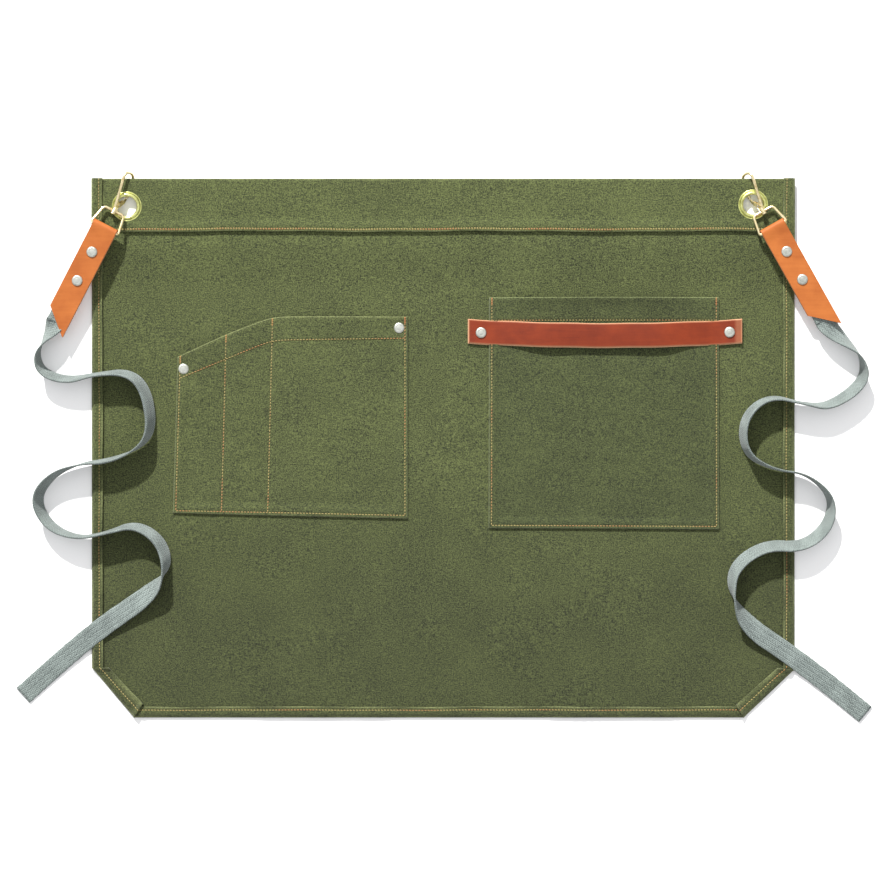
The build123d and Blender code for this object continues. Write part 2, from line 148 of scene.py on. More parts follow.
# ---- small helpers ----
def smooth(t):
    """0 below 0, 1 above 1, and a smooth step between."""
    t = np.clip(t, 0, 1)
    return t * t * (3 - 2 * t)


def lift(y):
    """How far the cloth is lifted by the hooks under the waistband."""
    return lift_height * smooth((y - lift_low) / (lift_high - lift_low))


def relief(x, y):
    """Soft hills of the lying cloth, calm at its hardware and side hems."""
    total = 0.0
    for height, length, heading, phase in relief_waves:
        a = radians(heading)
        total = total + height * np.sin(2 * pi * (x * cos(a) + y * sin(a)) / length + phase)
    hills = 0.5 * (total + np.sqrt(total**2 + 0.25))
    hills = hills * calm(x, y)
    side = np.minimum(x - left_edge, right_edge - x)
    waist = 1 - 0.75 * smooth((y - lift_low) / (lift_high - lift_low))
    return hills * smooth(side / 45.0) * waist


def calm(x, y, radius=calm_radius):
    """0 at each eyelet and rivet, 1 away from them."""
    share = 1.0
    for px, py in calm_places:
        share = share * (1 - np.exp(-((x - px) ** 2 + (y - py) ** 2) / (2 * radius**2)))
    return share


def under(x, y):
    """Height of the canvas panel's underside."""
    return lift(y) + relief(x, y)


def in_scene(name, data):
    """A new object with this data, in the scene."""
    thing = bpy.data.objects.new(name, data)
    bpy.context.scene.collection.objects.link(thing)
    return thing


def build(name, points, faces, body, material, wear=None, lay=None):
    """A mesh piece from points in millimetres; it rides on a CAD body if one is given."""
    mesh = bpy.data.meshes.new(name)
    mesh.from_pydata([tuple(p) for p in np.asarray(points, float) * MM], [], faces)
    mesh.validate()
    for polygon in mesh.polygons:
        polygon.use_smooth = True
    if wear is not None:
        attribute = mesh.attributes.new("wear", "FLOAT", "POINT")
        attribute.data.foreach_set("value", np.asarray(wear, np.float32))
    if lay is not None:
        attribute = mesh.attributes.new("lay", "FLOAT_VECTOR", "POINT")
        attribute.data.foreach_set("vector", np.asarray(lay, np.float32).ravel())
    for one in material if isinstance(material, (list, tuple)) else [material]:
        mesh.materials.append(one)
    piece = in_scene(name, mesh)
    if body:
        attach(piece, body)
    return piece


def closed_grid(top, low):
    """Points, faces and the number of side walls, which come last, of a closed shell."""
    rows, columns = top.shape[:2]
    points = np.concatenate([top.reshape(-1, 3), low.reshape(-1, 3)])
    shift = rows * columns
    faces = []
    for r in range(rows - 1):
        for c in range(columns - 1):
            a = r * columns + c
            ring = (a, a + 1, a + columns + 1, a + columns)
            faces.append(ring)
            faces.append(tuple(shift + i for i in reversed(ring)))
    rim = list(range(columns))
    rim += [r * columns + columns - 1 for r in range(1, rows)]
    rim += [(rows - 1) * columns + c for c in range(columns - 2, -1, -1)]
    rim += [r * columns for r in range(rows - 2, 0, -1)]
    walls = [(b, a, a + shift, b + shift) for a, b in zip(rim, rim[1:] + rim[:1])]
    return points, faces + walls, len(walls)


def ring_tube(rings):
    """Faces that join rings of points, each of the same count, and close both ends."""
    count, around = len(rings), len(rings[0])
    faces = []
    for k in range(count - 1):
        for i in range(around):
            j = (i + 1) % around
            a, b = k * around, (k + 1) * around
            faces.append((a + i, a + j, b + j, b + i))
    faces.append(tuple(range(around - 1, -1, -1)))
    faces.append(tuple((count - 1) * around + i for i in range(around)))
    return faces


def outward(piece, weld=0.0):
    """Make the piece's faces look outwards, after welding points nearer than weld metres."""
    work = bmesh.new()
    work.from_mesh(piece.data)
    if weld:
        bmesh.ops.remove_doubles(work, verts=work.verts, dist=weld)
    bmesh.ops.recalc_face_normals(work, faces=work.faces)
    work.to_mesh(piece.data)
    work.free()


# ---- materials ----
class Nodes:
    """A short way to write a material's node tree."""

    def __init__(self, name):
        self.material = bpy.data.materials.new(name)
        self.material.use_nodes = True
        self.tree = self.material.node_tree
        self.shader = self.tree.nodes["Principled BSDF"]

    def add(self, kind, settings=None, **inputs):
        node = self.tree.nodes.new(kind)
        for key, value in (settings or {}).items():
            setattr(node, key, value)
        for key, value in inputs.items():
            socket = node.inputs[int(key[1:]) if key[0] == "_" else key.replace("_", " ")]
            self.put(socket, value)
        return node

    def put(self, socket, value):
        if isinstance(value, bpy.types.NodeSocket):
            self.tree.links.new(value, socket)
        else:
            socket.default_value = value

    def set(self, **inputs):
        for key, value in inputs.items():
            self.put(self.shader.inputs[key.replace("_", " ")], value)

    def millimetres(self, stretch=(1, 1, 1), source=None):
        """Object coordinates in millimetres, stretched along each axis."""
        if source is None:
            source = self.add("ShaderNodeTexCoord").outputs["Object"]
        scale = tuple(1000 * s for s in stretch)
        return self.add("ShaderNodeMapping", Vector=source, Scale=scale).outputs[0]

    def noise(self, vector, scale, detail=3.0, rough=0.55):
        return self.add("ShaderNodeTexNoise", Vector=vector, Scale=scale, Detail=detail,
                        Roughness=rough).outputs["Fac"]

    def math(self, operation, a, b=0.0):
        return self.add("ShaderNodeMath", {"operation": operation}, _0=a, _1=b).outputs[0]

    def total(self, *parts):
        """The sum of (value, weight) parts."""
        value, weight = parts[0]
        result = self.math("MULTIPLY", value, weight)
        for value, weight in parts[1:]:
            result = self.math("ADD", result, self.math("MULTIPLY", value, weight))
        return result

    def span(self, value, low, high, to_low=0.0, to_high=1.0):
        """Map a value from one range to another, held at both ends."""
        return self.add("ShaderNodeMapRange", Value=value, From_Min=low, From_Max=high,
                        To_Min=to_low, To_Max=to_high).outputs[0]

    def mix(self, factor, a, b):
        node = self.add("ShaderNodeMix", {"data_type": "RGBA"})
        self.put(node.inputs[0], factor)
        self.put(node.inputs[6], a)
        self.put(node.inputs[7], b)
        return node.outputs[2]

    def attribute(self, name, output="Fac"):
        return self.add("ShaderNodeAttribute", {"attribute_name": name}).outputs[output]

    def bump(self, height, distance, strength=1.0):
        return self.add("ShaderNodeBump", Height=height, Distance=distance,
                        Strength=strength).outputs[0]


def rgb(red, green, blue):
    """A linear colour from sRGB numbers from 0 to 255."""
    parts = []
    for value in (red, green, blue):
        value /= 255
        parts.append(value / 12.92 if value < 0.04045 else ((value + 0.055) / 1.055) ** 2.4)
    return (*parts, 1.0)


black = (0.0, 0.0, 0.0, 1.0)


def canvas_material(name, light, dark, worn_and_highlit):
    """Plain-woven cotton canvas with uneven yarns, a heathered dye, painted shade that darkens it
    more and more towards the bottom, and a lighter colour for scuffing and painted highlight.
    """
    n = Nodes(name)
    place = n.millimetres()
    weft = n.noise(n.millimetres((0.22, 1.5, 1.0)), 0.9, 4.0, 0.6)
    warp = n.noise(n.millimetres((1.5, 0.25, 1.0)), 0.8, 4.0, 0.6)
    fleck = n.noise(place, 0.82, 2.0, 0.6)
    blotch = n.noise(place, 0.018, 3.0, 0.5)
    yarns = n.total((weft, 0.4), (warp, 0.25), (fleck, 0.8), (blotch, 0.12))
    base = n.mix(n.span(yarns, 0.64, 0.97), dark, light)
    height_up = n.add("ShaderNodeSeparateXYZ", Vector=place).outputs["Y"]
    # Painted shade: the canvas darkens from below the waistband down to its foot, standing in for
    # light that falls off there.
    painted_falloff_shade = n.math("ADD", n.span(height_up, 230.0, 110.0, 0.0, 0.13),
                    n.span(height_up, 0.0, -170.0, 0.0, 0.26))
    base = n.mix(painted_falloff_shade, base, black)
    speck = n.span(n.noise(place, 0.75, 3.0, 0.9), 0.54, 0.72, 0.0, 0.55)
    base = n.mix(speck, base, n.mix(painted_falloff_shade, worn_and_highlit, black))
    # Lighter where the mesh attribute is set: real scuffing, and a painted highlight on folds,
    # rims and pocket mouths.
    rubbed_and_highlit = n.math("MULTIPLY", n.attribute("wear"), n.span(fleck, 0.35, 0.65, 0.35, 1.0))
    colour = n.mix(rubbed_and_highlit, base, worn_and_highlit)
    across, along = (
        n.add("ShaderNodeTexWave", {"bands_direction": way}, Vector=place, Scale=scale,
              Distortion=1.2, Detail=1.0).outputs["Fac"]
        for way, scale in (("X", 0.30), ("Y", 0.33))
    )
    weave = n.math("MULTIPLY", across, along)
    height = n.total((weave, 0.7), (yarns, 0.9))
    n.set(Base_Color=colour, Roughness=0.93, Specular_IOR_Level=0.18, Sheen_Weight=0.12,
          Sheen_Roughness=0.6, Normal=n.bump(height, 0.0005, 1.0))
    return n.material


def leather_material(name, light, dark, roughness, coat):
    """Smooth dyed leather with fine pores, a faint cloudiness and pale scuffed rims; the same pale
    colour is a painted highlight on the band's curled end.
    """
    n = Nodes(name)
    place = n.millimetres()
    cloud = n.noise(place, 0.035, 4.0, 0.6)
    pores = n.add("ShaderNodeTexVoronoi", {"feature": "DISTANCE_TO_EDGE"}, Vector=place, Scale=1.1)
    grain = n.noise(place, 0.9, 5.0, 0.65)
    streak = n.noise(n.millimetres((0.05, 0.9, 1.0)), 0.5, 3.0, 0.5)
    tone = n.total((cloud, 0.75), (streak, 0.25))
    colour = n.mix(n.span(tone, 0.36, 0.64), dark, light)
    # The pale rim colour: scuffed edges, and a painted highlight on the band's curled end.
    rim = n.mix(0.45, colour, (0.75, 0.42, 0.22, 1))
    colour = n.mix(n.attribute("wear"), colour, rim)
    height = n.math("ADD", n.math("MULTIPLY", grain, 0.8),
                    n.span(pores.outputs["Distance"], 0.0, 0.12, 0.0, 0.5))
    gloss = n.span(grain, 0.3, 0.7, roughness - 0.06, roughness + 0.08)
    n.set(Base_Color=colour, Roughness=gloss, Specular_IOR_Level=0.22, Coat_Weight=coat,
          Coat_Roughness=0.35, Normal=n.bump(height, 0.00012, 0.6))
    return n.material


def raw_edge_material(name, colour, dark):
    """The cut edge of leather: pale, fibrous and matt."""
    n = Nodes(name)
    fibre = n.noise(n.millimetres((0.5, 0.5, 3.0)), 1.3, 4.0, 0.7)
    n.set(Base_Color=n.mix(n.span(fibre, 0.35, 0.65), dark, colour), Roughness=0.85,
          Normal=n.bump(fibre, 0.0002, 0.8))
    return n.material


def webbing_material(name, light, dark):
    """Cotton webbing: rows of slanted ribs along the tape and fluffy yarn."""
    n = Nodes(name)
    lay = n.attribute("lay", "Vector")
    split = n.add("ShaderNodeSeparateXYZ", Vector=lay)
    across = n.math("MULTIPLY", split.outputs["Y"], 1000.0)
    along = n.math("MULTIPLY", split.outputs["X"], 1000.0)
    rib = n.math("PINGPONG", across, 2.5)
    slant = n.total((along, 3.3), (rib, 2.2))
    twill = n.math("ADD", n.math("MULTIPLY", n.math("SINE", slant), 0.5), 0.5)
    yarn = n.noise(n.millimetres((1, 1, 1), lay), 0.85, 4.0, 0.85)
    cloud = n.noise(n.millimetres((1, 1, 1), lay), 0.06, 2.0, 0.5)
    gap = n.span(rib, 0.0, 0.45)
    tone = n.total((yarn, 1.0), (twill, 0.16), (cloud, 0.2), (gap, 0.08))
    height = n.total((twill, 0.8), (yarn, 0.6), (gap, 0.5))
    n.set(Base_Color=n.mix(n.span(tone, 0.56, 0.98), dark, light), Roughness=0.9,
          Specular_IOR_Level=0.2, Sheen_Weight=0.2, Sheen_Roughness=0.4,
          Normal=n.bump(height, 0.0004, 1.0))
    return n.material


def thread_material(name, gold, orange):
    """Polyester thread whose dye turns from tan gold to orange along the seam."""
    n = Nodes(name)
    place = n.millimetres()
    turn = n.span(n.noise(place, 0.022, 2.0, 0.5), 0.49, 0.60)
    twist = n.noise(place, 1.6, 3.0, 0.6)
    colour = n.mix(n.math("MULTIPLY", turn, 0.8), gold, orange)
    colour = n.mix(n.span(twist, 0.35, 0.7, 0.0, 0.45), colour, rgb(92, 78, 42))
    n.set(Base_Color=colour, Roughness=0.6, Sheen_Weight=0.1, Normal=n.bump(twist, 0.0002, 0.7))
    return n.material


def metal_material(name, colour, tarnish, roughness, brushed=0.0):
    """Plated metal, a little uneven, duller where it is handled."""
    n = Nodes(name)
    place = n.millimetres()
    cloud = n.noise(place, 0.3, 3.0, 0.6)
    fine = n.noise(n.millimetres((1.0, 6.0, 1.0)), 1.6, 3.0, 0.6)
    scuff = n.span(cloud, 0.42, 0.72)
    rough = n.math("ADD", n.span(fine, 0.3, 0.7, roughness, roughness + 0.10),
                   n.math("MULTIPLY", scuff, 0.10))
    n.set(Base_Color=n.mix(scuff, colour, tarnish), Metallic=1.0, Roughness=rough,
          Normal=n.bump(fine, 0.00003, 0.25 + brushed))
    return n.material


olive = canvas_material("canvas", rgb(98, 107, 60), rgb(26, 32, 13), rgb(122, 128, 84))
# A darker copy of the canvas: painted shade for the large pocket under the leather band.
shaded_olive = canvas_material("pocket_canvas", rgb(88, 97, 54), rgb(23, 29, 12), rgb(118, 126, 84))
tan_leather = leather_material("tan_leather", rgb(166, 95, 42), rgb(146, 78, 31), 0.60, 0.02)
red_leather = leather_material("band_leather", rgb(117, 43, 14), rgb(97, 32, 9), 0.56, 0.03)
tan_edge = raw_edge_material("tan_raw_edge", rgb(196, 140, 100), rgb(140, 84, 52))
band_edge = raw_edge_material("band_raw_edge", rgb(216, 176, 140), rgb(170, 112, 80))
grey_webbing = webbing_material("webbing", rgb(150, 161, 157), rgb(34, 41, 41))
thread = thread_material("thread", rgb(140, 126, 72), rgb(148, 98, 52))
tack_thread = thread_material("tack_thread", rgb(158, 116, 62), rgb(160, 92, 50))
pale_gold = metal_material("pale_gold", rgb(236, 222, 180), rgb(196, 172, 116), 0.20)
eyelet_brass = metal_material("eyelet_brass", rgb(222, 224, 150), rgb(150, 150, 84), 0.22)
nickel = metal_material("nickel", rgb(192, 194, 186), rgb(156, 158, 150), 0.38, 0.2)
spring_steel = metal_material("spring_steel", rgb(196, 196, 196), rgb(150, 150, 150), 0.25)


# ---- stitches ----
def spread(line, pitch):
    """Start and end of each stitch along a line of points."""
    line = np.asarray(line, float)
    steps = np.linalg.norm(np.diff(line, axis=0), axis=1)
    far = np.concatenate([[0], np.cumsum(steps)])
    count = max(1, int(round(far[-1] / pitch)))
    pitch = far[-1] / count
    pairs = []
    for k in range(count):
        ends = []
        for share in (0.10, 0.90):
            at = (k + share) * pitch
            ends.append([np.interp(at, far, line[:, axis]) for axis in range(3)])
        pairs.append(ends)
    return pairs


def stitches(name, lines, body="apron", pitch=stitch_pitch, radius=thread_radius,
             material=None, slant=0.1):
    """Rows of separate stitches, each a short arched length of thread."""
    around, stops = 6, ((0.0, 0.30, -0.9), (0.12, 0.85, -0.25), (0.5, 1.05, 0.45),
                        (0.88, 0.85, -0.25), (1.0, 0.30, -0.9))
    points, faces, number = [], [], 0
    for line in lines:
        for start, end in spread(line, pitch):
            number += 1
            a, b = np.array(start), np.array(end)
            along = b - a
            length = np.linalg.norm(along)
            side = np.cross(along / length, (0, 0, 1.0))
            side /= np.linalg.norm(side)
            up = np.cross(side, along / length)
            sway = side * (slant * length + 0.25 * sin(number * 2.399) * radius)
            base = len(points)
            for share, girth, rise in stops:
                centre = a + along * share + up * rise * radius + sway * (share - 0.5)
                for i in range(around):
                    angle = 2 * pi * i / around
                    ring = side * cos(angle) + up * sin(angle)
                    points.append(centre + ring * girth * radius)
            for face in ring_tube([range(around)] * len(stops)):
                faces.append(tuple(base + i for i in face))
    return build(name, points, faces, body, material or thread)


# ---- canvas panel ----
def side_x(y, side):
    """The panel's side at a height, drawn in along its cut corner."""
    (x0, y0), (x1, y1) = left_cut if side < 0 else right_cut
    straight = (left_edge if side < 0 else right_edge) - side * edge_inset
    if y >= y0:
        return straight
    share = (y0 - y) / (y0 - y1)
    return x0 + (x1 - x0) * share - side * edge_inset * 1.35


def cut_holes(piece):
    """Punch the eyelet holes through a piece."""
    for name, (x, y) in eyelets.items():
        turns = np.linspace(0, 2 * pi, 65)[:-1]
        ring = [(x + punch_radius * cos(a), y + punch_radius * sin(a)) for a in turns]
        rings = [[(px, py, z) for px, py in ring] for z in (-5.0, 25.0)]
        mesh = bpy.data.meshes.new("punch")
        mesh.from_pydata([tuple(MM * c for c in p) for r in rings for p in r], [],
                         ring_tube(rings))
        punch = in_scene("punch", mesh)
        outward(punch)
        cut = piece.modifiers.new("cut", "BOOLEAN")
        cut.object, cut.operation, cut.solver = punch, "DIFFERENCE", "EXACT"
        with bpy.context.temp_override(object=piece, active_object=piece):
            bpy.ops.object.modifier_apply(modifier="cut")
        bpy.data.objects.remove(punch)


def canvas_panel():
    """The one piece of canvas, from its lower hem to its waistband's fold."""
    low, high = bottom_edge + edge_inset, top_edge - edge_inset
    corners = {left_cut[0][1], right_cut[0][1]}
    ys = sorted(set(np.linspace(low, high, int((high - low) / grid_step))) | corners)
    columns = int((right_edge - left_edge) / grid_step)
    top = np.zeros((len(ys), columns, 3))
    for r, y in enumerate(ys):
        x = np.linspace(side_x(y, -1), side_x(y, 1), columns)
        top[r, :, 0], top[r, :, 1] = x, y
        top[r, :, 2] = under(x, y)
    bottom = top.copy()
    top[:, :, 2] += cloth
    points, faces, _ = closed_grid(top, bottom)
    panel = build("canvas_panel", points, faces, "apron", olive, np.zeros(len(points)))
    outward(panel)
    cut_holes(panel)
    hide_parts("apron_panel")
    return panel


# ---- folded and stitched edges ----
def folded_strip(name, outer, inner, stitch, seat=None, stray=0.5, phase=0.0, holes=False,
                 ends=(0.0, 0.0), ridge=0.9):
    """Cloth folded over an edge: a round fold, a roping top and a turned-in rim.

    outer and inner are the fold's and the rim's end points; stitch is how far
    from the fold the row of stitches runs. seat lifts it over what it covers, and
    ridge is the extra height of the edge that is turned in under the stitches.
    """
    outer, inner = np.array(outer, float), np.array(inner, float)
    length = np.linalg.norm(outer[1] - outer[0])
    width = np.linalg.norm(inner[0] - outer[0])
    count = int(ceil(length / (stitch_pitch / 2))) + 1
    fold = [(fold_radius + fold_radius * cos(a), fold_radius + fold_radius * sin(a))
            for a in np.radians([-90, -120, -150, -180, -210, -240, -270])]
    crown = 2 * fold_radius
    inside = list(np.arange(fold_radius + 1.3, stitch - 1.0, 1.6 if width < 20 else 3.4))
    inside += [stitch - 0.8, stitch, stitch + 0.8]
    profile = [(t, h, "fold") for t, h in fold]
    profile += [(t, crown, "top") for t in inside]
    for a in np.radians([90, 60, 30, 0]):
        profile.append((width - rim_radius + rim_radius * cos(a),
                        crown + ridge - rim_radius + rim_radius * sin(a), "rim"))
    profile += [(width - 0.3, cloth - 0.1, "under"), (fold_radius + 1.6, cloth - 0.1, "under"),
                (fold_radius + 0.9, 0.12, "under")]
    rings, wear, line = [], [], []
    for k in range(count):
        share = k / (count - 1)
        s = share * length
        start = outer[0] + (outer[1] - outer[0]) * share
        reach = (inner[0] + (inner[1] - inner[0]) * share) - start
        here = np.linalg.norm(reach)
        reach = reach / here
        edge_stray = stray * (0.6 * sin(s / 37 + phase) + 0.4 * sin(s / 13 + 2 * phase))
        close = ends[0] * (1 - smooth(s / 7)) + ends[1] * (1 - smooth((length - s) / 7))
        ring = []
        for t, h, part in profile:
            inward = t * here / width
            if part in ("rim", "under"):
                inward += edge_stray if t > width / 2 else 0.0
            if part == "top":
                inward += edge_stray * t / width
            x, y = start + reach * inward
            sewn = np.exp(-((t - stitch) / 0.9) ** 2)
            body = h
            if part in ("top", "fold") and t >= fold_radius:
                quiet = calm(x, y, 9.0) * pressed(x, y)
                turned = smooth((t - stitch + 8.5) / 3.5)
                roping = 0.22 * sin(2 * pi * (s + 0.6 * t) / 8.3 + phase) * sin(s / 23 + phase)
                body += quiet * ((0.14 + roping) * sin(pi * min(t / stitch, 1.0)) + ridge * turned)
                body -= sewn * (sewn_depth + 0.16 * cos(2 * pi * s / stitch_pitch))
            if part == "rim":
                body -= ridge * (1 - pressed(x, y))
                body += 0.16 * sin(2 * pi * s / 8.3 + phase) * sin(s / 23 + phase)
            extra = seat(x, y) if seat else 0.0
            height = body * (1 + (extra + close) / crown) if body > cloth else body
            if part == "under" and body > 0.5:
                height = body + extra * 0.6
            ring.append((x, y, under(x, y) + height))
            # Lighter on the fold's upper side and on the rim: scuffing, plus a painted highlight
            # where the light catches them.
            worn_and_highlit = {"fold": 0.55 if 0.3 < h / crown else 0.0, "rim": 0.75}.get(part, 0.0)
            wear.append(worn_and_highlit * (0.6 + 0.4 * sin(s / 11 + t)))
        rings.append(ring)
        at = stitch * here / width + edge_stray * stitch / width
        x, y = start + reach * at
        extra = seat(x, y) if seat else 0.0
        sewn_at = crown + ridge * pressed(x, y) - 0.55
        line.append((x, y, under(x, y) + sewn_at * (1 + (extra + close) / crown)
                     + thread_radius * 0.2))
    piece = build(name, [p for ring in rings for p in ring], ring_tube(rings), "apron", olive,
                  wear)
    outward(piece)
    if holes:
        cut_holes(piece)
    return piece, line


def over_waistband(x, y):
    """How far the side hems ride up over the waistband's ends."""
    return 1.0 * smooth((y - 213.0) / 7.0)


def pressed(x, y):
    """1 over most of a seam, 0 where the loops and tabs lie over the side hems."""
    return 1 - np.exp(-(((y - 214.0) / 44.0) ** 4)) * (abs(x) > 320)


def hems_and_waistband():
    """The waistband, then the hems that lap over its ends and each other."""
    pieces, lines = [], {}
    top, low = top_edge, bottom_edge
    table = (
        ("waistband_fold", ((-350.0, top), (350.0, top)), ((-350.0, 216.3), (350.0, 216.3)),
         50.6, None, 0.7, 0.3, True, (0, 0)),
        ("left_hem", ((left_edge, top + 0.3), (left_edge, -220.0)),
         ((-340.4, top + 0.3), (-340.0, -222.0)), 7.3, over_waistband, 0.45, 1.1, False, (0, 0)),
        ("right_hem", ((right_edge, -222.0), (right_edge, top + 0.3)),
         ((339.8, -224.0), (339.6, top + 0.3)), 8.3, over_waistband, 0.45, 2.2, False, (0, 0)),
        ("bottom_hem", ((-309.0, low), (300.0, low)), ((-303.0, -258.2), (296.0, -258.2)),
         8.6, None, 0.5, 3.7, False, (0, 0)),
        ("left_corner_hem", ((-351.0, -219.6), (-308.6, -269.6)),
         ((-334.0, -219.2), (-299.8, -255.0)), 8.4, None, 0.4, 4.1, False, (1.5, 1.7)),
        ("right_corner_hem", ((300.0, -269.6), (350.6, -221.6)),
         ((292.0, -256.4), (334.0, -219.6)), 8.4, None, 0.4, 5.3, False, (1.7, 1.5)),
    )
    for name, outer, inner, stitch, seat, stray, phase, holes, ends in table:
        ridge = waistband_ridge if holes else hem_ridge
        piece, line = folded_strip(name, outer, inner, stitch, seat, stray, phase, holes, ends,
                                   ridge)
        pieces.append(piece)
        lines[name] = line
    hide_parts("waistband")
    start, end = waist_stitches
    waist = [p for p in lines["waistband_fold"] if start < p[0] < end]
    pieces.append(stitches("waistband_stitches", [waist], pitch=2.7, radius=1.0, slant=0.3))
    hem_lines = [line for name, line in lines.items() if name != "waistband_fold"]
    pieces.append(stitches("hem_stitches", hem_lines))
    return pieces


# ---- pockets ----
def pocket(name, seams, puffs, node, hems, profile, dye):
    """A patch pocket sewn down at its sides, foot and dividers, open at its mouth.

    hems are the depths of the mouth's hem at each seam; profile says how the
    pocket's belly and its mouth share the puff.
    """
    hem_depth = float(np.mean(hems))
    seams = np.array(seams, float)
    count = len(puffs)
    bottom, top = seams[:, 0], seams[:, 1]
    depth = float(np.mean(top[:, 1] - bottom[:, 1]))
    fine = np.array([0.0, 0.2, 0.5, 0.9, 1.5, edge_stitch - 0.7, edge_stitch, edge_stitch + 0.8,
                     5.4, 8.0])
    divider = np.array([0.0, 0.6, 1.2, 2.0, 3.6, 6.0])
    us, ids = [], []
    for k in range(count):
        span = bottom[k + 1, 0] - bottom[k, 0]
        near = fine if k == 0 else divider
        far = fine if k == count - 1 else divider
        middle = np.arange(near[-1] + 3.2, span - far[-1] - 2.0, 3.2)
        part = np.concatenate([near, middle, span - far[::-1]]) / span
        if k:
            part = part[1:]
        us += list(part)
        ids += [k] * len(part)
    vs = list(fine / depth)
    vs += list(np.arange(fine[-1] + 3.0, depth - hem_depth - 2.4, 3.0) / depth)
    vs += list((depth - hem_depth + np.array([-1.6, -0.8, 0.0, 0.8, 1.6])) / depth)
    vs += list(np.arange(depth - hem_depth + 4.0, depth - 1.6, 3.0) / depth)
    vs += list((depth - np.array([1.2, 0.7, 0.35, 0.1, 0.0])) / depth)

    def where(k, u, v):
        """A place on the pocket, seen from above."""
        a = bottom[k] + (bottom[k + 1] - bottom[k]) * u
        b = top[k] + (top[k + 1] - top[k]) * u
        if count > 1 and k in (1, 2):
            reach = (1 - u) * (top[2, 0] - top[1, 0]) if k == 1 else u * (top[3, 0] - top[2, 0])
            b = b - np.array([0.0, 1.5 * np.exp(-(reach / 6.0))])
        here = hems[k] + (hems[k + 1] - hems[k]) * u
        knee = 1 - hem_depth / depth
        turned = 1 - here / (b[1] - a[1])
        bent = v * turned / knee if v < knee else turned + (v - knee) * (1 - turned) / (1 - knee)
        return a + (b - a) * bent

    def height(k, u, v, x, y):
        """Height of the cloth's face above the canvas, with its seams pressed in."""
        span = top[k + 1, 0] - top[k, 0]
        left, right = u * span, (1 - u) * span
        foot, mouth = v * depth, (1 - v) * depth
        edges = [foot]
        if k == 0:
            edges.append(left)
        if k == count - 1:
            edges.append(right)
        edge = min(edges)
        body = pocket_cloth + pocket_ridge * (1 - smooth((edge - 7.5) / 3.5))
        body -= 0.55 * np.exp(-(((edge - edge_stitch) / 0.7) ** 2))
        if mouth < hem_depth + 1:
            body += 0.7 * smooth((hem_depth + 0.8 - mouth) / 1.4) * smooth(edge / 9)
        body -= 0.45 * np.exp(-(((mouth - hem_depth) / 0.8) ** 2))
        inner = min(left if k else 99.0, right if k < count - 1 else 99.0)
        body -= 0.35 * np.exp(-((inner / 1.1) ** 2))
        arch = sin(pi * u) ** 0.8 if 0 < u < 1 else 0.0
        belly, gape, reach = profile
        open_share = belly * smooth(v / 0.75) + gape * np.exp(-mouth / reach)
        body += puffs[k] * open_share * arch
        pucker = 0.16 * sin(2 * pi * (foot if edge in (left, right) else left) / 7.1 + k)
        body += pucker * np.exp(-(((edge - 5.0) / 3.0) ** 2)) * (edge > 0.8)
        drag = 0.34 * sin(0.11 * x + 0.19 * y) * sin(0.055 * x - 0.08 * y + 1.0)
        body += drag * arch * smooth(foot / 25) * smooth(mouth / 25)
        body = 2.0 + (body - 2.0) * calm(x, y, 7.0) if edge > 1.5 else body
        radius = 0.95
        if edge < radius:
            body *= max(0.0, 1 - (1 - edge / radius) ** 2) ** 0.5
        return body

    def face(k, u, v):
        """A point on the cloth's face."""
        x, y = where(k, u, v)
        return x, y, under(x, y) + cloth + height(k, u, v, x, y)

    top_grid, low_grid = np.zeros((2, len(vs), len(us), 3))
    wear = np.zeros((len(vs), len(us)))
    for r, v in enumerate(vs):
        for c, (u, k) in enumerate(zip(us, ids)):
            x, y, z = face(k, u, v)
            mouth = (1 - v) * depth
            if mouth < 1.2:
                z -= 0.5 * (1 - mouth / 1.2) ** 2
            thick = pocket_cloth + (0.6 if mouth < hem_depth else 0.0)
            floor = under(x, y) + cloth - 0.15
            top_grid[r, c] = (x, y, z)
            low_grid[r, c] = (x, y, min(max(floor, z - thick), z - 0.02))
            span = top[k + 1, 0] - top[k, 0]
            rim = min(v * depth, u * span if k == 0 else 99,
                      (1 - u) * span if k == count - 1 else 99)
            # Lighter at the mouth's fold and along the rims: scuffing, plus a painted highlight.
            wear[r, c] = 0.9 * np.exp(-((mouth / 0.9) ** 2)) + 0.45 * np.exp(-((rim / 1.2) ** 2))
    points, faces, _ = closed_grid(top_grid, low_grid)
    piece = build(name, points, faces, "apron", dye,
                  np.concatenate([wear.ravel(), wear.ravel() * 0.3]))
    outward(piece)
    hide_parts(node)

    def seam_point(k, u, v):
        x, y, z = face(k, u, v)
        return (x, y, z + thread_radius * 0.25)

    return piece, seam_point, depth


